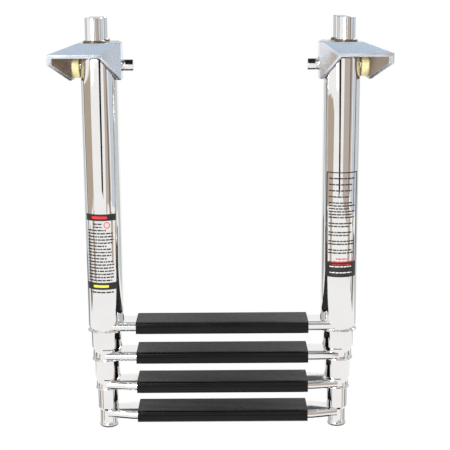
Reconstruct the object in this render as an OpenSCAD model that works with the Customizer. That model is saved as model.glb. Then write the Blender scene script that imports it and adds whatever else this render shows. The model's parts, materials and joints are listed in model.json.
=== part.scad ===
// Telescoping boat boarding ladder with four steps, hung from two hinge brackets.
// The origin is the centre of the four deck studs, on the plane where their collars end.
// +X runs across the ladder, +Y points under the deck and +Z is up.

/* [Ladder] */
// Distance between the axes of the two side tubes
tube_spacing = 288; // [260:1:340]
// Outer diameter of the outer tube
outer_d = 44.45; // [44:0.05:45]
// Wall of every tube
wall = 1.5; // [1.2:0.1:1.6]
// Depth below the hinge of the lower end of the outer tube
outer_end = 326; // [320:1:328]
// Vertical distance from step to step when closed
step_pitch = 38.2; // [36:0.1:38.4]
// Depth below the hinge of the foot's underside
foot_depth = 453; // [450:1:500]

/* [Steps] */
// Tread depth, front to back
tread_depth = 48; // [40:1:50]
// Tread height
tread_h = 14.4; // [12:0.1:15]
// Length of the black tread cover
tread_len = 212; // [190:1:214]

/* [Brackets] */
// Thickness of the bracket plate
plate = 3; // [2:0.1:3.2]
// Height of the roof above the hinge axis
roof_z = 26; // [26:0.5:30]
// Diameter of the deck studs
stud_d = 22.2; // [18:0.1:24]
// Length of a deck stud above its collar
stud_len = 26.5; // [20:0.5:40]
// Distance from the front stud to the rear stud
stud_gap = 46; // [40:1:50]

/* [Hinge] */
// Diameter of the hinge bolt
bolt_d = 8; // [6:0.5:8]
// Width of the hinge nut across its flats
nut_af = 13; // [13:0.5:15]
// Diameter of the nylon spacer
spacer_d = 30; // [24:1:31]

/* [Hidden] */

$fn = 96;
eps = 0.01;
// Radial clearance of a tube in the neck, and of a guide bush in the tube around it
slide_gap = 0.1;
// Radial clearance of the hinge bolt in its sleeve, and in the cheeks and washers
bolt_gap = 0.05;
hole_gap = 0.2;

// Outer radius of each tube, from the outer one to the fourth
tube_r = [for (k = [0 : 3]) outer_d / 2 - k * 3.175];
function bore_r(k) = tube_r[k] - wall;
foot_flange = 2.5;
foot_plug = 16;
// Height of the lower end of each tube, from the hinge axis
function tube_end(k) = k == 3 ? -foot_depth + foot_flange : -outer_end - step_pitch * k;
tube_top = [22.6, -24, -27, -30];
// Each tube is drawn in at its lower end, and the mouth is rolled out again into a thin lip
neck_len = [4, 14, 12, 20];
last_neck_r = 9.2;
neck_taper = 3;
lip_r = [tube_r[0] + 0.7, tube_r[1] - 0.4, tube_r[2] - 0.6, tube_r[3] - 1.1];
lip_h = 1.2;
guide_len = 12;

// Step heights, at the middle of each step
function step_z(k) = -outer_end + 6.5 - step_pitch * k;
bar_depth = tread_depth - 7;
bar_h = tread_h - 3.6;

// Bracket, measured from the tube's axis: x grows towards the middle of the ladder
cheek_in = 24;
cheek_out = -31;
lip_y = -28;
lip_drop = 12.5;
slope_y = -14;
cheek_back = 16;
crest_x = -24;
roof_back = 58;
cheek_bottom = -17;
wing_x = -58;
lip_inner_x = 7;
facet_back = -11;
// The cheeks' lower edges rise to these heights at the open front
wing_low = 2;
facet_low = 9.5;
// The top of the outer tube is cut to this radius, so that it swings under the roof with this gap
swing_gap = 0.3;
swing_r = roof_z - plate - swing_gap;
stud_x = -4.5;
collar_r = 13.7;
collar_h = 3;
mid = tube_spacing / 2;
pivot_r = 7;
washer_t = 1.6;
washer_r = 8;
head_h = 5.3;
nut_h = 12.2;
label_r = outer_d / 2;
label_t = 0.15;
label_half_angle = 54;

// Moves a shape from the hinge frame to the part's frame
module from_hinge() {
    translate([0, -stud_gap / 2, -roof_z - collar_h]) children();
}

// Places one side's piece: its own frame has the tube's axis at x = 0 and +x towards the middle
module on_side(side) {
    from_hinge()
        if (side == "left") translate([-mid, 0, 0]) children();
        else mirror([1, 0, 0]) translate([-mid, 0, 0]) children();
}

// ---- brackets ----

function unit(v) = v / norm(v);
function left_of(a, b) = [a.y - b.y, b.x - a.x] / norm(b - a);

// Corner p of an outline between a and b, moved by d to the left of both edges
function moved_corner(a, p, b, d) =
    let (n1 = left_of(a, p), n2 = left_of(p, b)) p + (n1 + n2) * d / (1 + n1 * n2);

// Plan corners of the hood, anticlockwise; reach runs the open front end out along its two sides
function hood_corners(reach, back) =
    let (
        wing = [wing_x, lip_y], wing_root = [cheek_out - plate, slope_y],
        lip = [lip_inner_x, lip_y], lip_root = [cheek_in + plate, facet_back]
    ) [
        wing + reach * unit(wing - wing_root), lip + reach * unit(lip - lip_root), lip_root,
        [cheek_in + plate, back], [cheek_out - plate, back], wing_root
    ];

module hood_plan(inset) {
    c = hood_corners(inset * 4, cheek_back + inset * 4);
    last = len(c) - 1;
    polygon([for (i = [0 : last])
        moved_corner(c[i == 0 ? last : i - 1], c[i], c[i == last ? 0 : i + 1], inset)]);
}

// Side outline of the hood as y and z: a roof, a front slope and a rising lower front edge
module hood_side(front_low, root_y) {
    polygon([
        [lip_y, roof_z - lip_drop], [lip_y, front_low], [root_y, cheek_bottom],
        [cheek_back, cheek_bottom], [cheek_back, roof_z], [slope_y, roof_z]
    ]);
}

// Side outline of the space under the plate
module hood_side_inside() {
    lip = [lip_y, roof_z - lip_drop];
    brow = [slope_y, roof_z];
    under = moved_corner(lip, brow, brow + [1, 0], -plate);
    polygon([
        under, under + 60 * unit(lip - brow), [lip_y - 60, cheek_bottom - 60],
        [cheek_back + 60, cheek_bottom - 60], [cheek_back + 60, roof_z - plate]
    ]);
}

// Front outline of the hood as x and z: it rises from the wing's tip to the crest, where the level roof starts
module hood_front(inset) {
    tip = [wing_x, roof_z - lip_drop];
    crest = [crest_x, roof_z];
    top = moved_corner(tip, crest, crest + [1, 0], -inset);
    rotate([90, 0, 0]) linear_extrude(300, center = true) polygon([
        top, top + 90 * unit(tip - crest), [top.x, cheek_bottom - 90], [60, cheek_bottom - 90], [60, top.y]
    ]);
}

// Turns a y-z outline into a slab along x from x0 to x1
module along_x(x0, x1) {
    translate([x0, 0, 0]) rotate([90, 0, 90]) linear_extrude(x1 - x0) children();
}

module hood_outside() {
    middle_x = -12;
    intersection() {
        translate([0, 0, -60]) linear_extrude(120) hood_plan(0);
        hood_front(0);
        union() {
            along_x(-80, middle_x) hood_side(wing_low, slope_y);
            along_x(middle_x - eps, 60) hood_side(facet_low, facet_back);
        }
    }
}

module hood_inside() {
    intersection() {
        translate([0, 0, -60]) linear_extrude(120) hood_plan(plate);
        hood_front(plate);
        along_x(-80, 60) hood_side_inside();
    }
}

module hood() {
    difference() {
        union() {
            difference() {
                hood_outside();
                hood_inside();
            }
            // Rear part of the roof, narrowing towards the back
            translate([0, 0, roof_z - plate]) linear_extrude(plate) polygon([
                [cheek_in + plate, cheek_back - 1], [18, roof_back], [crest_x + 3, roof_back],
                [crest_x, cheek_back - 1]
            ]);
        }
        rotate([0, 90, 0]) cylinder(h = 200, r = bolt_d / 2 + hole_gap, center = true);
    }
}

module deck_stud(y) {
    chamfer = 1;
    translate([stud_x, y, roof_z]) rotate_extrude() polygon([
        [0, 0], [collar_r, 0], [collar_r, collar_h - chamfer], [collar_r - chamfer, collar_h],
        [stud_d / 2, collar_h], [stud_d / 2, collar_h + stud_len - chamfer],
        [stud_d / 2 - chamfer, collar_h + stud_len], [0, collar_h + stud_len]
    ]);
}

module ring_x(x0, x1, r_out, r_in) {
    translate([x0, 0, 0]) rotate([0, 90, 0]) difference() {
        cylinder(h = x1 - x0, r = r_out);
        translate([0, 0, -1]) cylinder(h = x1 - x0 + 2, r = r_in);
    }
}

head_x = cheek_out - plate - washer_t;
nut_x = cheek_in + plate + washer_t;

// Hexagon along x from x0, with one edge facing the front
module hexagon_x(x0, h) {
    translate([x0, 0, 0]) rotate([0, 90, 0]) rotate([0, 0, 30]) cylinder(h = h, r = nut_af / sqrt(3), $fn = 6);
}

module hinge_bolt() {
    color("silver") {
        hexagon_x(head_x - head_h, head_h);
        translate([head_x - eps, 0, 0]) rotate([0, 90, 0])
            cylinder(h = nut_x + nut_h - head_x + eps, r = bolt_d / 2);
    }
}

module hinge_nut() {
    color("silver") difference() {
        hexagon_x(nut_x, nut_h);
        translate([nut_x - 1, 0, 0]) rotate([0, 90, 0]) cylinder(h = nut_h + 2, r = bolt_d / 2);
    }
}

module bolt_washers() {
    color("silver") {
        ring_x(head_x, cheek_out - plate, washer_r, bolt_d / 2 + hole_gap);
        ring_x(cheek_in + plate, nut_x, washer_r, bolt_d / 2 + hole_gap);
    }
}

module hinge_spacer() {
    color("khaki") ring_x(cheek_out, -tube_r[0] - 0.4, spacer_d / 2, bolt_d / 2 + hole_gap);
}

module thin_washer() {
    color("ivory") ring_x(tube_r[0] + 0.4, cheek_in, 9, bolt_d / 2 + hole_gap);
}

module pivot_sleeve() {
    color("silver") ring_x(-tube_r[0] - 0.1, tube_r[0] + 0.1, pivot_r, bolt_d / 2 + bolt_gap);
}

// ---- tubes ----

function neck_bore(k) = k < 3 ? tube_r[k + 1] + slide_gap : last_neck_r;

// Outside of tube k as r and z, from its lip to its top
function tube_outline(k) =
    let (zb = tube_end(k), zn = zb + neck_len[k], r_out = neck_bore(k) + wall) [
        [lip_r[k], zb], [lip_r[k], zb + lip_h], [r_out, zb + lip_h + 0.8], [r_out, zn],
        [tube_r[k], zn + neck_taper], [tube_r[k], tube_top[k]]
    ];

// A tube with its lower end drawn in to guide the next one
module necked_tube(k) {
    zn = tube_end(k) + neck_len[k];
    rotate_extrude() polygon(concat(
        [[neck_bore(k), tube_end(k)]], tube_outline(k),
        [[bore_r(k), tube_top[k]], [bore_r(k), zn + neck_taper], [neck_bore(k), zn]]
    ));
}

// Room for the top of the outer tube, turned about the hinge axis: under the roof, and behind the slanted
// front of the inner cheek
module swing_room() {
    slope = (facet_back - lip_y) / (cheek_in + plate - lip_inner_x);
    lost = plate * sqrt(1 + slope * slope) + swing_gap;
    reach = outer_d / 2 + 2;
    narrow_x = cheek_in + plate - (swing_r + lost + facet_back) / slope;
    end_r = -facet_back + slope * (cheek_in + plate - reach) - lost;
    rotate([0, 90, 0]) rotate_extrude()
        polygon([[0, -outer_d], [swing_r, -outer_d], [swing_r, narrow_x], [end_r, reach], [0, reach]]);
}

module outer_tube() {
    color("gainsboro") difference() {
        necked_tube(0);
        rotate([0, 90, 0]) cylinder(h = outer_d * 2, r = pivot_r, center = true);
        difference() {
            translate([-outer_d, -outer_d, 0]) cube(2 * outer_d);
            swing_room();
        }
    }
}

module inner_tube(k) {
    color("gainsboro") necked_tube(k);
}

// Bush on the top of tube k, running in the tube around it
module guide(k) {
    color("ivory") translate([0, 0, tube_top[k] - guide_len]) difference() {
        cylinder(h = guide_len, r = bore_r(k - 1) - slide_gap);
        translate([0, 0, -1]) cylinder(h = guide_len + 2, r = tube_r[k]);
    }
}

// Plug in the mouth of the fourth tube, with a rounded flange to stand on
module foot() {
    color("dimgray") rotate_extrude() polygon(concat(
        [[0, -foot_depth]],
        [for (a = [0 : 15 : 90])
            [lip_r[3] - foot_flange + foot_flange * sin(a), -foot_depth + foot_flange * (1 - cos(a))]],
        [[last_neck_r, tube_end(3)], [last_neck_r, tube_end(3) + foot_plug],
         [0, tube_end(3) + foot_plug]]
    ));
}

// Thin printed film, a little over a quarter turn of the tube, facing the front
module label(z0, z1, turn) {
    color("white") translate([0, 0, z0]) rotate([0, 0, -90 - label_half_angle + turn])
        rotate_extrude(angle = 2 * label_half_angle)
            translate([label_r, 0]) square([label_t, z1 - z0]);
}

// ---- steps ----

// Flattened oval bar profile of the given depth and height, along x
module oval_slab(depth, height, x0, x1) {
    along_x(x0, x1) hull() {
        for (s = [-1, 1]) translate([s * (depth - height) / 2, 0]) circle(d = height, $fn = 32);
    }
}

module step_bar(k) {
    color("whitesmoke") from_hinge() translate([0, 0, step_z(k)]) difference() {
        union() {
            oval_slab(bar_depth, bar_h, -tread_len / 2 - 6, tread_len / 2 + 6);
            for (s = [-1, 1]) hull() {
                oval_slab(bar_depth, bar_h, s * (tread_len / 2 + 5.5) - 0.5, s * (tread_len / 2 + 5.5) + 0.5);
                oval_slab(min(2 * tube_r[k], bar_depth), bar_h, s * (mid - 1) - 0.5, s * (mid - 1) + 0.5);
            }
        }
        for (s = [-1, 1]) translate([s * mid, 0, -step_z(k)]) rotate_extrude()
            polygon(concat([[0, tube_end(k)]], tube_outline(k), [[0, tube_top[k]]]));
    }
}

// Black cover, a sleeve around the bar
module tread(k) {
    bevel = 3;
    color([0.12, 0.12, 0.13]) from_hinge() translate([0, 0, step_z(k)]) difference() {
        along_x(-tread_len / 2, tread_len / 2) polygon([
            [-tread_depth / 2, -tread_h / 2 + bevel], [-tread_depth / 2 + bevel, -tread_h / 2],
            [tread_depth / 2 - bevel, -tread_h / 2], [tread_depth / 2, -tread_h / 2 + bevel],
            [tread_depth / 2, tread_h / 2 - bevel / 2], [tread_depth / 2 - bevel / 2, tread_h / 2],
            [-tread_depth / 2 + bevel / 2, tread_h / 2], [-tread_depth / 2, tread_h / 2 - bevel / 2]
        ]);
        oval_slab(bar_depth, bar_h, -tread_len, tread_len);
    }
}

on_side("left") color("lightgray") hood();  // hood_left
on_side("right") color("lightgray") hood();  // hood_right
on_side("left") color("silver") deck_stud(0);  // front_stud_left
on_side("right") color("silver") deck_stud(0);  // front_stud_right
on_side("left") color("silver") deck_stud(stud_gap);  // rear_stud_left
on_side("right") color("silver") deck_stud(stud_gap);  // rear_stud_right
on_side("left") hinge_bolt();  // hinge_bolt_left
on_side("right") hinge_bolt();  // hinge_bolt_right
on_side("left") hinge_nut();  // hinge_nut_left
on_side("right") hinge_nut();  // hinge_nut_right
on_side("left") bolt_washers();  // bolt_washers_left
on_side("right") bolt_washers();  // bolt_washers_right
on_side("left") hinge_spacer();  // hinge_spacer_left
on_side("right") hinge_spacer();  // hinge_spacer_right
on_side("left") thin_washer();  // thin_washer_left
on_side("right") thin_washer();  // thin_washer_right
on_side("left") pivot_sleeve();  // pivot_sleeve_left
on_side("right") pivot_sleeve();  // pivot_sleeve_right
on_side("left") outer_tube();  // outer_tube_left
on_side("right") outer_tube();  // outer_tube_right
on_side("left") inner_tube(1);  // second_tube_left
on_side("right") inner_tube(1);  // second_tube_right
on_side("left") inner_tube(2);  // third_tube_left
on_side("right") inner_tube(2);  // third_tube_right
on_side("left") inner_tube(3);  // fourth_tube_left
on_side("right") inner_tube(3);  // fourth_tube_right
on_side("left") guide(1);  // second_guide_left
on_side("right") guide(1);  // second_guide_right
on_side("left") guide(2);  // third_guide_left
on_side("right") guide(2);  // third_guide_right
on_side("left") guide(3);  // fourth_guide_left
on_side("right") guide(3);  // fourth_guide_right
on_side("left") foot();  // foot_left
on_side("right") foot();  // foot_right
on_side("left") label(-275, -175, -5);  // label_left
on_side("right") label(-256, -127, -3);  // label_right
step_bar(0);  // step_bar_1
step_bar(1);  // step_bar_2
step_bar(2);  // step_bar_3
step_bar(3);  // step_bar_4
tread(0);  // tread_1
tread(1);  // tread_2
tread(2);  // tread_3
tread(3);  // tread_4
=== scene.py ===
"""Dresses the telescoping boarding ladder: polished steel, black treads, nylon parts and printed films."""

import json
import math
import random

import bmesh
import bpy
from bpy.props import FloatProperty, FloatVectorProperty, IntProperty, PointerProperty
from mathutils import Matrix, Vector


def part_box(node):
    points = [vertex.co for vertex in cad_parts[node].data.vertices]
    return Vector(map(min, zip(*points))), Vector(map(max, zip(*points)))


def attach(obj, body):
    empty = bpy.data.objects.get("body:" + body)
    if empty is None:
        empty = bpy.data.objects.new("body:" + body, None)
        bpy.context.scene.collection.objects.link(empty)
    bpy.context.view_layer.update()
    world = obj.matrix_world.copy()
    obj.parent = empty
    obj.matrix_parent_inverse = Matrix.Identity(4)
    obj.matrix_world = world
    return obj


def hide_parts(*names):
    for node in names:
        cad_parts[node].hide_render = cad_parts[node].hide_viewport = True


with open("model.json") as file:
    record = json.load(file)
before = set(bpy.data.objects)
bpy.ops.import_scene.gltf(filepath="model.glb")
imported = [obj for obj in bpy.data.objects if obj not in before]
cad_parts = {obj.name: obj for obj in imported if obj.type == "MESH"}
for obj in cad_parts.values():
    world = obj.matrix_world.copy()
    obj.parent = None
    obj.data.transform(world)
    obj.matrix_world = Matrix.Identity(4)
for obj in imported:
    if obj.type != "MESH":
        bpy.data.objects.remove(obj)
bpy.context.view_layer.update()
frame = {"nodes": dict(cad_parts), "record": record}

bl_info = {
    "name": "Boarding ladder",
    "version": (1, 0, 0),
    "blender": (4, 5, 0),
    "location": "3D View > Sidebar > Ladder",
    "description": "Builds the visible pieces of a telescoping boarding ladder",
    "category": "Object",
}

MM = 0.001
SIDES = ("left", "right")
SECTIONS = ("outer_section", "second_section", "third_section", "fourth_section")
TUBES = ("outer_tube", "second_tube", "third_tube", "fourth_tube")
GUIDES = ("second_guide", "third_guide", "fourth_guide")
# Grain of the polishing lines: along the tubes and studs, and across the ladder
ALONG_Z = (1, 1, 0.02)
ALONG_X = (0.02, 1, 1)
# Most noise values lie between these
NOISE_LOW, NOISE_HIGH = 0.3, 0.7
# Order of the inks on a printed film
BLACK, RED, YELLOW, WHITE = range(4)


def colour_property(name, description, default):
    return FloatVectorProperty(
        name=name, description=description, default=default, subtype="COLOR", size=3, min=0.0, max=1.0
    )


def length_property(name, description, default):
    return FloatProperty(name=name, description=description, default=default, unit="LENGTH")


def share_property(name, description, default):
    return FloatProperty(name=name, description=description, default=default, min=0.0, max=1.0)


class SteelFinish(bpy.types.PropertyGroup):
    tint: colour_property("Tint", "Colour of the polished stainless steel", (0.86, 0.85, 0.835))
    hood_tint: colour_property("Hood tint", "Colour of the hoods' cooler steel", (0.77, 0.81, 0.86))
    # Painted shade: dark brown for the hoods' inner faces, which lie in the hood's own shadow
    inner_shade_tint: colour_property(
        "Inner shade tint", "Painted shade colour of the hoods' inner faces", (0.31, 0.25, 0.2)
    )
    # Painted shade: dark brown for the collars under the studs, which lie in shadow
    collar_shade_tint: colour_property(
        "Collar shade tint", "Painted shade colour of the collars under the studs", (0.22, 0.18, 0.13)
    )
    polish: share_property("Roughness", "Roughness of a clean polished face", 0.035)
    hood_polish: share_property("Hood roughness", "Roughness of the hoods' softer polish", 0.2)
    edge_round: length_property("Edge rounding", "Radius on the plate's edges", 0.5 * MM)


class TreadShape(bpy.types.PropertyGroup):
    ribs: IntProperty(name="Ribs", description="Fine ribs along the tread's top", default=9, min=1, max=20)
    rib_height: length_property("Rib height", "How far a rib stands up", 0.45 * MM)
    end_chamfer: length_property("End chamfer", "Chamfer on the tread's ends", 2.2 * MM)
    colour: colour_property("Colour", "Colour of the moulded tread", (0.004, 0.0036, 0.0038))


class FilmPrint(bpy.types.PropertyGroup):
    lift: length_property("Lift", "Height of the ink above the tube", 0.12 * MM)
    row_height: length_property("Row height", "Height of one printed row", 1.5 * MM)


class StudioSetup(bpy.types.PropertyGroup):
    distance: length_property("Distance", "From the camera to the hinge axis", 1.345)
    rise: length_property("Rise", "Camera height above the hinge axis", 0.091)
    sideways: length_property("Sideways", "Camera offset to the right", 0.0043)
    tilt: FloatProperty(
        name="Tilt", description="Downward tilt of the camera", default=math.radians(12.0), subtype="ANGLE"
    )
    roll: FloatProperty(
        name="Roll", description="Roll of the camera", default=math.radians(0.35), subtype="ANGLE"
    )
    lens: FloatProperty(name="Lens", description="Focal length in millimetres", default=90.0)


def settings():
    return bpy.context.scene.boarding_ladder


# ---------------------------------------------------------------- materials


def new_material(name):
    """A material with its Principled shader, and a function that adds nodes to it."""
    made = bpy.data.materials.new(name)
    made.use_nodes = True
    tree = made.node_tree
    shader = tree.nodes["Principled BSDF"]

    def add(kind, **values):
        node = tree.nodes.new(kind)
        for key, value in values.items():
            if key in node.inputs:
                node.inputs[key].default_value = value
            else:
                setattr(node, key, value)
        return node

    return made, tree, shader, add


def object_point(tree, add, scale=(1, 1, 1)):
    """Object coordinates, stretched by scale."""
    place = add("ShaderNodeTexCoord")
    mapping = add("ShaderNodeMapping", Scale=scale)
    tree.links.new(place.outputs["Object"], mapping.inputs["Vector"])
    return mapping.outputs["Vector"]


def noise(tree, add, vector, scale, detail=3.0, roughness=0.5):
    node = add("ShaderNodeTexNoise", Scale=scale, Detail=detail, Roughness=roughness)
    tree.links.new(vector, node.inputs["Vector"])
    return node.outputs["Fac"]


def spread(tree, add, value, low, high):
    """Maps a noise value onto low..high, clamped."""
    node = add("ShaderNodeMapRange")
    node.inputs["From Min"].default_value = NOISE_LOW
    node.inputs["From Max"].default_value = NOISE_HIGH
    node.inputs["To Min"].default_value = low
    node.inputs["To Max"].default_value = high
    tree.links.new(value, node.inputs["Value"])
    return node.outputs["Result"]


def blend_colours(tree, add, value, low, high):
    """Maps a noise value onto the colours from low to high."""
    ramp = add("ShaderNodeValToRGB")
    for stop, position, colour in zip(ramp.color_ramp.elements, (NOISE_LOW, NOISE_HIGH), (low, high)):
        stop.position = position
        stop.color = (*colour, 1)
    tree.links.new(value, ramp.inputs["Fac"])
    return ramp.outputs["Color"]


def bump(tree, add, shader, value, strength, distance):
    node = add("ShaderNodeBump", Strength=strength, Distance=distance)
    tree.links.new(value, node.inputs["Height"])
    tree.links.new(node.outputs["Normal"], shader.inputs["Normal"])


def scaled(colour, factor):
    return tuple(min(1.0, c * factor) for c in colour)


def polished_steel(name, rough, grain=(1, 1, 1), wave=0.02, tint=None):
    """Mirror polish with faint hand marks, polishing lines along grain and a slight waviness."""
    made, tree, shader, add = new_material(name)
    shader.inputs["Metallic"].default_value = 1.0
    tint = tuple(tint or settings().steel.tint)
    point = object_point(tree, add)
    marks = noise(tree, add, point, scale=38.0, detail=5.0, roughness=0.6)
    stained = blend_colours(tree, add, marks, scaled(tint, 0.965), scaled(tint, 1.01))
    tree.links.new(stained, shader.inputs["Base Color"])
    lines = noise(tree, add, object_point(tree, add, grain), scale=900.0, detail=2.0)
    mixed = add("ShaderNodeMath", operation="MULTIPLY")
    tree.links.new(spread(tree, add, marks, 0.7, 1.9), mixed.inputs[0])
    tree.links.new(spread(tree, add, lines, rough * 0.7, rough * 1.35), mixed.inputs[1])
    tree.links.new(mixed.outputs[0], shader.inputs["Roughness"])
    waves = noise(tree, add, point, scale=14.0, detail=1.0)
    bump(tree, add, shader, waves, strength=wave, distance=2 * MM)
    return made


def moulded_plastic(name, colour, rough, grain_scale=900.0, grain=0.12, lift=1.5, specular=0.5):
    """Moulded plastic with a fine surface grain and uneven gloss; lift is how far its colour brightens."""
    made, tree, shader, add = new_material(name)
    shader.inputs["Specular IOR Level"].default_value = specular
    point = object_point(tree, add)
    cloud = noise(tree, add, point, scale=24.0, detail=4.0)
    uneven = blend_colours(tree, add, cloud, scaled(colour, 0.85), scaled(colour, lift))
    tree.links.new(uneven, shader.inputs["Base Color"])
    tree.links.new(spread(tree, add, cloud, rough * 0.85, rough * 1.2), shader.inputs["Roughness"])
    fine = noise(tree, add, point, scale=grain_scale, detail=2.0)
    bump(tree, add, shader, fine, strength=grain, distance=0.3 * MM)
    return made


def ink(name, colour):
    """Screen-printed ink with thin and full places."""
    made, tree, shader, add = new_material(name)
    cover = noise(tree, add, object_point(tree, add), scale=1600.0, detail=2.0)
    tree.links.new(
        blend_colours(tree, add, cover, colour, scaled(colour, 1.6)), shader.inputs["Base Color"]
    )
    shader.inputs["Roughness"].default_value = 0.3
    return made


def glow(name, colour):
    """Plain light-giving surface for the studio's cards."""
    made = bpy.data.materials.new(name)
    made.use_nodes = True
    nodes = made.node_tree.nodes
    nodes.clear()
    light = nodes.new("ShaderNodeEmission")
    light.inputs["Color"].default_value = (*colour, 1)
    out = nodes.new("ShaderNodeOutputMaterial")
    made.node_tree.links.new(light.outputs[0], out.inputs["Surface"])
    return made


# ---------------------------------------------------------------- mesh helpers


def finish_piece(bm, name, node, body, materials, smooth_angle=30.0):
    """Turns a bmesh into the piece that stands for node, rides on body and takes the given materials."""
    limit = math.radians(smooth_angle)
    bm.normal_update()
    for face in bm.faces:
        face.smooth = True
    for edge in bm.edges:
        edge.smooth = len(edge.link_faces) == 2 and edge.calc_face_angle(0.0) < limit
    mesh = bpy.data.meshes.new(name)
    bm.to_mesh(mesh)
    bm.free()
    for material in materials:
        mesh.materials.append(material)
    piece = bpy.data.objects.new(name, mesh)
    bpy.context.scene.collection.objects.link(piece)
    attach(piece, body)
    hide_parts(node)
    return piece


def merged_copy(node):
    """A clean bmesh of a CAD node: one vertex per point and flat faces joined."""
    bm = bmesh.new()
    bm.from_mesh(frame["nodes"][node].data)
    bmesh.ops.remove_doubles(bm, verts=bm.verts[:], dist=0.002 * MM)
    bmesh.ops.dissolve_limit(
        bm,
        angle_limit=math.radians(0.5),
        use_dissolve_boundaries=False,
        verts=bm.verts[:],
        edges=bm.edges[:],
    )
    return bm


def round_edges(bm, edges, radius, segments):
    bmesh.ops.bevel(
        bm,
        geom=edges,
        offset=radius,
        offset_type="OFFSET",
        affect="EDGES",
        segments=segments,
        profile=0.5,
        material=-1,
        clamp_overlap=True,
    )


def softened_piece(node, body, materials, radius=None, segments=2):
    """A copy of a CAD node with its sharp edges rounded, which stands for it."""
    sharp_angle = math.radians(35)
    bm = merged_copy(node)
    if radius:
        sharp = [e for e in bm.edges if len(e.link_faces) == 2 and e.calc_face_angle(0.0) > sharp_angle]
        round_edges(bm, sharp, radius, segments)
    return finish_piece(bm, f"{node}_finished", node, body, materials)


def second_finish(piece, chosen):
    """Gives the second material to the faces that chosen picks by their centre and normal."""
    for face in piece.data.polygons:
        if chosen(face.center, face.normal):
            face.material_index = 1


def hinge_point():
    joints = frame["record"]["behaviour"]["joints"]
    return Vector(next(j for j in joints if j["name"] == "ladder_hinge")["pos_m"])


def both_sides(kind):
    return [f"{kind}_{side}" for side in SIDES]


# ---------------------------------------------------------------- brackets


class LADDER_OT_brackets(bpy.types.Operator):
    """Polished hoods of the two hinge brackets, with rounded plate edges and a dark brown painted shade on
    their inner faces
    """

    bl_idname = "ladder.brackets"
    bl_label = "Bracket hoods"

    def execute(self, context):
        finish = settings().steel
        materials = [
            polished_steel(name, finish.hood_polish, wave=0.05, tint=tint)
            for name, tint in (
                ("hood polished steel", finish.hood_tint),
                ("hood inner painted shade", finish.inner_shade_tint),
            )
        ]
        for side in SIDES:
            low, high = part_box(f"outer_tube_{side}")
            axis = hinge_point() + Vector(((low.x + high.x) / 2, 0, 0))
            hood = softened_piece(
                f"hood_{side}", "brackets", materials, finish.edge_round, 3
            )
            # Faces that look in towards the hinge axis take the dark brown tint, a painted shade under the
            # hood
            second_finish(hood, lambda at, normal: (axis - at).dot(normal) > 0)
        return {"FINISHED"}


class LADDER_OT_deck_studs(bpy.types.Operator):
    """Deck studs with their collars darkened by a painted shade, on the roofs of the hoods"""

    bl_idname = "ladder.deck_studs"
    bl_label = "Deck studs"

    def execute(self, context):
        finish = settings().steel
        steel = polished_steel("stud polished steel", finish.polish, ALONG_Z)
        # The collar material carries a dark brown painted shade
        collar = polished_steel("collar painted shade", 0.08, tint=finish.collar_shade_tint)
        mount = next(m for m in frame["record"]["mounts"] if m["name"] == "deck_studs")
        past_stud = (mount["dims"]["stud_r_mm"] + 0.5) * MM
        for node in both_sides("front_stud") + both_sides("rear_stud"):
            low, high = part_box(node)
            centre = (low + high) / 2
            stud = softened_piece(node, "brackets", [steel, collar], 0.3 * MM)
            # Faces outside the stud's radius, the collar, take the dark brown tint as a painted shade
            second_finish(stud, lambda at, normal: (at - centre).xy.length > past_stud)
        return {"FINISHED"}


class LADDER_OT_hinge_hardware(bpy.types.Operator):
    """Hinge bolts, nuts, washers and the sleeves that the bolts run in"""

    bl_idname = "ladder.hinge_hardware"
    bl_label = "Hinge hardware"

    def execute(self, context):
        steel = polished_steel("fastener steel", 0.07, ALONG_X)
        for kind in ("hinge_bolt", "hinge_nut", "bolt_washers"):
            for node in both_sides(kind):
                softened_piece(node, "brackets", [steel], 0.35 * MM)
        for node in both_sides("pivot_sleeve"):
            softened_piece(node, "outer_section", [steel], 0.2 * MM, 1)
        return {"FINISHED"}


class LADDER_OT_nylon_parts(bpy.types.Operator):
    """Cream hinge spacers and washers, and the white guide bushes inside the tubes"""

    bl_idname = "ladder.nylon_parts"
    bl_label = "Nylon parts"

    def execute(self, context):
        cream = moulded_plastic("cream nylon", (0.88, 0.79, 0.42), 0.35, lift=1.06)
        white = moulded_plastic("white nylon", (0.8, 0.79, 0.76), 0.42, lift=1.05)
        for kind in ("hinge_spacer", "thin_washer"):
            for node in both_sides(kind):
                softened_piece(node, "brackets", [cream], 0.4 * MM)
        for kind, body in zip(GUIDES, SECTIONS[1:]):
            for node in both_sides(kind):
                softened_piece(node, body, [white], 0.2 * MM, 1)
        return {"FINISHED"}


# ---------------------------------------------------------------- tubes and steps


class LADDER_OT_side_tubes(bpy.types.Operator):
    """The four telescoping tubes on each side, mirror polished, with rolled lips"""

    bl_idname = "ladder.side_tubes"
    bl_label = "Side tubes"

    def execute(self, context):
        steel = polished_steel("tube polished steel", settings().steel.polish, ALONG_Z, wave=0.03)
        for kind, body in zip(TUBES, SECTIONS):
            for node in both_sides(kind):
                softened_piece(node, body, [steel], 0.3 * MM)
        return {"FINISHED"}


class LADDER_OT_step_bars(bpy.types.Operator):
    """Oval step bars with flared ends that meet the tubes"""

    bl_idname = "ladder.step_bars"
    bl_label = "Step bars"

    def execute(self, context):
        rough = settings().steel.polish * 1.3
        steel = polished_steel("bar polished steel", rough, ALONG_X, wave=0.05)
        for k, body in enumerate(SECTIONS, 1):
            node = f"step_bar_{k}"
            finish_piece(
                merged_copy(node), f"{node}_finished", node, body, [steel], smooth_angle=40.0
            )
        return {"FINISHED"}


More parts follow.
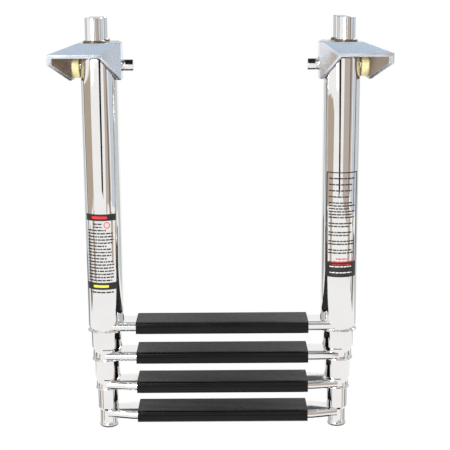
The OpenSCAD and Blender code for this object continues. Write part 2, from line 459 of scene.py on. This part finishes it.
def tread_outline(depth, height, shape):
    """Cross-section of a tread, front at low y: ribbed top, round upper edges, stepped front."""
    half_d, half_h = depth / 2, height / 2
    round_r, turns = 3 * MM, 4
    flat, underside = 5 * MM, 2.5 * MM
    front = -half_d + 0.8 * MM
    lip = half_h - 5.2 * MM
    outline = [
        (half_d - underside, -half_h),
        (-half_d + underside, -half_h),
        (-half_d + 0.4 * MM, -half_h + 1.6 * MM),
        (-half_d, -half_h + 3 * MM),
        (-half_d, lip - 0.5 * MM),
        (front, lip),
    ]

    def upper_corner(centre_y, start):
        for step in range(turns + 1):
            angle = math.radians(start - 90 * step / turns)
            outline.append(
                (centre_y + round_r * math.cos(angle), half_h - round_r + round_r * math.sin(angle))
            )

    upper_corner(front + round_r, 180)
    start = front + flat
    pitch = (half_d - flat - start) / shape.ribs
    # Across one rib: where its corners lie, in pitches from its middle, and whether they are raised
    rib = ((-0.42, False), (-0.3, True), (0.3, True), (0.42, False))
    for k in range(shape.ribs):
        middle = start + pitch * (k + 0.5)
        outline += [
            (middle + pitch * offset, half_h if raised else half_h - shape.rib_height)
            for offset, raised in rib
        ]
    upper_corner(half_d - round_r, 90)
    outline.append((half_d, -half_h + underside))
    return [Vector((0, y, z)) for y, z in outline]


def chamfer_ends(bm, low, high, size):
    """Cuts the four upright corners of a tread at 45 degrees and closes the cuts."""
    rear_share = 1.6
    for side, end in ((-1, low.x), (1, high.x)):
        for face, edge in ((-1, low.y), (1, high.y)):
            reach = size * (rear_share if face > 0 else 1.0)
            cut = bmesh.ops.bisect_plane(
                bm,
                geom=bm.verts[:] + bm.edges[:] + bm.faces[:],
                plane_co=Vector((end - side * reach, edge, 0)),
                plane_no=Vector((side, face, 0)).normalized(),
                clear_outer=True,
            )
            rim = [g for g in cut["geom_cut"] if isinstance(g, bmesh.types.BMEdge)]
            bmesh.ops.holes_fill(bm, edges=rim, sides=0)


class LADDER_OT_treads(bpy.types.Operator):
    """Black moulded treads with fine ribs along their tops and chamfered ends"""

    bl_idname = "ladder.treads"
    bl_label = "Treads"

    def execute(self, context):
        shape = settings().tread
        plastic = moulded_plastic(
            "black tread plastic", tuple(shape.colour), 0.19, grain_scale=1400.0, grain=0.02, specular=0.2
        )
        for k, body in enumerate(SECTIONS, 1):
            node = f"tread_{k}"
            low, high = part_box(node)
            bm = self.moulding(low, high, shape)
            finish_piece(bm, f"{node}_finished", node, body, [plastic])
        return {"FINISHED"}

    def moulding(self, low, high, shape):
        """The outline drawn out along x from low to high, with its end edges rounded and chamfered."""
        size, centre = high - low, (high + low) / 2
        start = Vector((low.x, centre.y, centre.z))
        bm = bmesh.new()
        end = bm.faces.new([bm.verts.new(p + start) for p in tread_outline(size.y, size.z, shape)])
        grown = bmesh.ops.extrude_face_region(bm, geom=[end])["geom"]
        moved = [g for g in grown if isinstance(g, bmesh.types.BMVert)]
        bmesh.ops.translate(bm, verts=moved, vec=Vector((size.x, 0, 0)))
        bmesh.ops.recalc_face_normals(bm, faces=bm.faces[:])
        ends = [e for e in bm.edges if abs(e.verts[0].co.x - e.verts[1].co.x) < 0.01 * MM]
        round_edges(bm, ends, 0.35 * MM, 2)
        chamfer_ends(bm, low, high, shape.end_chamfer)
        return bm


class LADDER_OT_feet(bpy.types.Operator):
    """Grey plugs that close the lowest tubes"""

    bl_idname = "ladder.feet"
    bl_label = "Feet"

    def execute(self, context):
        plastic = moulded_plastic("grey foot plastic", (0.09, 0.085, 0.08), 0.4)
        for node in both_sides("foot"):
            softened_piece(node, "fourth_section", [plastic])
        return {"FINISHED"}


# ---------------------------------------------------------------- printed films


class FilmPrinter:
    """Prints ink on one outer tube's film. Angles are in degrees from the film's middle, towards +x."""

    def __init__(self, side, turn, seed):
        low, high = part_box(f"outer_tube_{side}")
        film_low, film_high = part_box(f"label_{side}")
        self.node = f"label_{side}"
        self.centre = (low + high) / 2
        self.radius = self.centre.y - film_low.y + settings().film.lift
        self.bottom, self.top = film_low.z, film_high.z
        self.tall = self.top - self.bottom
        self.turn = turn
        self.random = random.Random(seed)
        self.bm = bmesh.new()

    def patch(self, z_low, z_high, a_low, a_high, ink_index=BLACK, above=0.0):
        """One patch of ink wrapped on the tube; above is how far it stands over the first ink."""
        a_low, a_high = (math.radians(self.turn + a) for a in (a_low, a_high))
        radius = self.radius + above
        steps = max(2, int(abs(a_high - a_low) / math.radians(3)) + 1)
        made = bmesh.ops.create_grid(self.bm, x_segments=steps, y_segments=1, size=0.5)
        for vert in made["verts"]:
            angle = a_low + (vert.co.x + 0.5) * (a_high - a_low)
            vert.co = Vector((
                self.centre.x + radius * math.sin(angle),
                self.centre.y - radius * math.cos(angle),
                z_low + (vert.co.y + 0.5) * (z_high - z_low),
            ))
        for face in {f for v in made["verts"] for f in v.link_faces}:
            face.material_index = ink_index

    def dashes(self, z, height, a_low, a_high, ink_index=BLACK, above=0.0):
        """A row of plain dashes of uneven length, which stands for small print."""
        at = a_low
        while at < a_high:
            stop = min(a_high, at + self.random.uniform(4, 15))
            self.patch(z - height / 2, z + height / 2, at, stop, ink_index, above)
            at = stop + self.random.uniform(1.6, 2.6)

    def ring(self, z, angle):
        """A plain red ring, drawn as short patches round a circle."""
        ring_r, width, parts = 3.4 * MM, 0.5 * MM, 20
        reach = math.degrees(width / self.radius)
        for k in range(parts):
            turn = 2 * math.pi * k / parts
            at = angle + math.degrees(ring_r * math.cos(turn) / self.radius)
            middle = z + ring_r * math.sin(turn)
            self.patch(middle - width, middle + width, at - reach, at + reach, RED)

    def finish(self, inks):
        finish_piece(self.bm, f"{self.node}_print", self.node, "outer_section", inks)


class LADDER_OT_printed_films(bpy.types.Operator):
    """Clear films on the outer tubes, printed with plain bands and dashes"""

    bl_idname = "ladder.printed_films"
    bl_label = "Printed films"

    # Half width of a print in degrees, and how far a second ink stands over the first
    edge = 53
    over_ink = 0.03 * MM

    def execute(self, context):
        inks = [
            ink("black ink", (0.014, 0.013, 0.012)),
            ink("red ink", (0.62, 0.02, 0.02)),
            ink("yellow ink", (0.75, 0.6, 0.04)),
            ink("white ink", (0.7, 0.69, 0.66)),
        ]
        self.short_film(inks)
        self.tall_film(inks)
        return {"FINISHED"}

    def short_film(self, inks):
        """Left film: a band at the top and the bottom, dashes between and a ring mark."""
        film = FilmPrinter("left", -5, 11)
        row, rows, heading_rows = settings().film.row_height, 19, 2
        for low, high, colour in ((0.905, 0.985, RED), (0.05, 0.135, YELLOW)):
            bottom, top = (film.bottom + film.tall * share for share in (low, high))
            film.patch(bottom, top, -self.edge, self.edge)
            middle = (bottom + top) / 2
            film.patch(middle - row, middle + row, -27, 22, colour, self.over_ink)
        for k in range(rows):
            z = film.bottom + film.tall * (0.865 - 0.7 * k / (rows - 1))
            reach = film.random.choice((18, 34, 40, 42))
            if k < heading_rows:
                film.dashes(z, row, -24, 6)
            else:
                film.dashes(z, row, -46, reach)
        film.dashes(film.bottom + row, row, -40, 38)
        film.ring(film.bottom + film.tall * 0.85, 21)
        film.finish(inks)

    def tall_film(self, inks):
        """Right film: a thin frame with groups of dashes and a dark band at the foot."""
        film = FilmPrinter("right", 3, 23)
        row, line = settings().film.row_height, 0.6 * MM
        thin = math.degrees(line / film.radius)
        film.patch(film.top - 2 * line, film.top, -self.edge, self.edge)
        for at in (-self.edge, self.edge):
            film.patch(film.bottom, film.top, at - thin, at + thin)
        band = film.tall * 0.145
        film.patch(film.bottom, film.bottom + band, -self.edge, self.edge)
        for share in (0.7, 0.3):
            film.dashes(film.bottom + band * share, row * 0.8, -38, 34, WHITE, self.over_ink)
        z = film.top - film.tall * 0.06
        pitch, gap = film.tall * 0.0275, film.tall * 0.03
        for rows_in_group in (1, 1, 1, 1, 6, 2, 2, 2, 2):
            for _ in range(rows_in_group):
                film.dashes(z, row, -44, film.random.choice((22, 32, 42, 44)))
                z -= pitch
            z -= gap
        for reach in (18, 42, 30):
            film.dashes(z, row * 0.9, -reach, reach, RED)
            z -= pitch
        film.finish(inks)


# ---------------------------------------------------------------- studio


def stage_sheet(name, corners, material):
    """A flat four-cornered card, floor or backdrop that isn't part of the ladder."""
    bm = bmesh.new()
    bm.faces.new([bm.verts.new(Vector(c)) for c in corners])
    mesh = bpy.data.meshes.new(name)
    bm.to_mesh(mesh)
    bm.free()
    mesh.materials.append(material)
    card = bpy.data.objects.new(name, mesh)
    bpy.context.scene.collection.objects.link(card)
    return card


def reflected_only(card):
    """Leaves a card in reflections and takes it out of the camera's view and the shadows."""
    card.visible_camera = False
    card.visible_diffuse = False
    card.visible_shadow = False


def wall_card(name, azimuth, width, low, high, distance, colour):
    """An upright card that faces the ladder; azimuth 0 is towards the camera and 90 to its right."""
    a = math.radians(azimuth)
    out = Vector((math.sin(a), -math.cos(a), 0)) * distance
    along = Vector((math.cos(a), math.sin(a), 0)) * distance * math.tan(math.radians(width / 2))
    corners = [
        out + along * side + Vector((0, 0, z)) for side, z in ((-1, low), (1, low), (1, high), (-1, high))
    ]
    reflected_only(stage_sheet(name, corners, glow(name, colour)))


def level_card(name, centre, half_x, half_y, colour):
    """A level card above or below the ladder."""
    x, y, z = centre
    corners = [(x + i * half_x, y + j * half_y, z) for i, j in ((-1, -1), (1, -1), (1, 1), (-1, 1))]
    reflected_only(stage_sheet(name, corners, glow(name, colour)))


class LADDER_OT_studio(bpy.types.Operator):
    """White studio with reflection cards, soft lights and the camera"""

    bl_idname = "ladder.studio"
    bl_label = "Studio"

    def execute(self, context):
        scene = context.scene
        scene.view_settings.view_transform = "Standard"
        self.surroundings(scene)
        self.cards()
        self.lamps(scene)
        self.camera(scene)
        return {"FINISHED"}

    def surroundings(self, scene):
        world = bpy.data.worlds.new("white studio")
        world.use_nodes = True
        back = world.node_tree.nodes["Background"]
        back.inputs["Color"].default_value = (1.0, 1.0, 1.0, 1)
        back.inputs["Strength"].default_value = 1.0
        scene.world = world
        white = glow("white backdrop", (1.0, 1.0, 1.0))
        floor_z, top_z, wide, deep = -1.32, 4.0, 6.0, 3.2
        stage_sheet(
            "floor",
            [(-wide, -wide, floor_z), (wide, -wide, floor_z), (wide, deep, floor_z), (-wide, deep, floor_z)],
            white,
        )
        stage_sheet(
            "backdrop",
            [(-wide, deep, floor_z), (wide, deep, floor_z), (wide, deep, top_z), (-wide, deep, top_z)],
            white,
        )

    def cards(self):
        """Cards for the steel to reflect; below the shelf height the lower tubes see other ones."""
        beige, taupe, dusk = (0.5, 0.41, 0.33), (0.54, 0.465, 0.42), (0.2, 0.165, 0.135)
        cool, pale, dim = (0.62, 0.69, 0.78), (0.62, 0.65, 0.66), (0.1, 0.1, 0.105)
        black, earth = (0.012, 0.011, 0.01), (0.03, 0.027, 0.025)
        ground, shelf, brow, top = -1.3, -0.8, 0.0, 1.5
        closest, closer, near, far, back = 1.6, 1.7, 1.8, 2.1, 2.4
        # Name, azimuth and width in degrees, bottom, top, distance and colour
        rows = [
            ("left beige card", -74, 40, shelf, brow, near, beige),
            ("left dusk card", -99, 8, shelf, top, closer, dusk),
            ("front line card", -1.5, 7, shelf, top, far, black),
            ("right taupe card", 38, 48, shelf, top, near, taupe),
            ("right line card", 53, 8, shelf, top, closest, dusk),
            ("right facet card", 74, 16, shelf, top, near, cool),
            ("right dusk card", 87, 7, shelf, top, closer, dusk),
            ("right cool card", 100, 18, shelf, top, far, cool),
            ("left low line card", -132, 9, ground, shelf, near, black),
            ("back dim card", 180, 80, 0.5, back, back, dim),
        ]
        for side in (-1, 1):
            rows += [
                (f"pale card {side}", side * 133, 44, ground, 1.6, far, pale),
                (f"low dusk card {side}", side * 98, 14, ground, shelf - 0.04, near, dusk),
                (f"low line card {side}", side * 84, 3, ground, shelf - 0.02, near, black),
                (f"low beige card {side}", side * 62, 12, ground, shelf - 0.05, near, beige),
            ]
        for row in rows:
            wall_card(*row)
        level_card("front dark card", (0, -1.1, 1.6), 0.7, 0.5, black)
        level_card("ceiling card", (0, 0.2, 1.9), 1.5, 1.3, cool)
        level_card("ground card", (0, 0, -1.31), 0.5, 0.5, earth)

    def lamps(self, scene):
        aim = Vector((0, 0, -0.2))
        for name, place, power in (
            ("left softbox", Vector((-0.75, -1.9, 0.75)), 26),
            ("rear softbox", Vector((0.9, 1.6, 1.2)), 14),
        ):
            light = bpy.data.lights.new(name, "AREA")
            light.shape = "SQUARE"
            light.size = 0.8
            light.energy = power
            lamp = bpy.data.objects.new(name, light)
            scene.collection.objects.link(lamp)
            lamp.location = place
            lamp.rotation_euler = (aim - place).to_track_quat("-Z", "Y").to_euler()

    def camera(self, scene):
        studio = settings().studio
        _, hinge_y, hinge_z = hinge_point()
        view = bpy.data.cameras.new("camera")
        view.sensor_width = 36.0
        view.lens = studio.lens
        camera = bpy.data.objects.new("camera", view)
        scene.collection.objects.link(camera)
        camera.location = (studio.sideways, hinge_y - studio.distance, hinge_z + studio.rise)
        turn = Matrix.Rotation(math.pi / 2 - studio.tilt, 4, "X") @ Matrix.Rotation(-studio.roll, 4, "Z")
        camera.rotation_euler = turn.to_euler()
        scene.camera = camera


# ---------------------------------------------------------------- add-on


class LadderSettings(bpy.types.PropertyGroup):
    steel: PointerProperty(type=SteelFinish)
    tread: PointerProperty(type=TreadShape)
    film: PointerProperty(type=FilmPrint)
    studio: PointerProperty(type=StudioSetup)


OPERATORS = (
    LADDER_OT_brackets,
    LADDER_OT_deck_studs,
    LADDER_OT_hinge_hardware,
    LADDER_OT_nylon_parts,
    LADDER_OT_side_tubes,
    LADDER_OT_step_bars,
    LADDER_OT_treads,
    LADDER_OT_feet,
    LADDER_OT_printed_films,
    LADDER_OT_studio,
)


class LADDER_PT_panel(bpy.types.Panel):
    """Lists the ladder's operators"""

    bl_idname = "LADDER_PT_panel"
    bl_label = "Boarding ladder"
    bl_space_type = "VIEW_3D"
    bl_region_type = "UI"
    bl_category = "Ladder"

    def draw(self, context):
        for operator in OPERATORS:
            self.layout.operator(operator.bl_idname)


CLASSES = (
    SteelFinish,
    TreadShape,
    FilmPrint,
    StudioSetup,
    LadderSettings,
    *OPERATORS,
    LADDER_PT_panel,
)


def register():
    for cls in CLASSES:
        bpy.utils.register_class(cls)
    bpy.types.Scene.boarding_ladder = PointerProperty(type=LadderSettings)


def unregister():
    del bpy.types.Scene.boarding_ladder
    for cls in reversed(CLASSES):
        bpy.utils.unregister_class(cls)


def main():
    register()
    for operator in OPERATORS:
        group, name = operator.bl_idname.split(".")
        getattr(getattr(bpy.ops, group), name)()


if __name__ == "__main__":
    main()
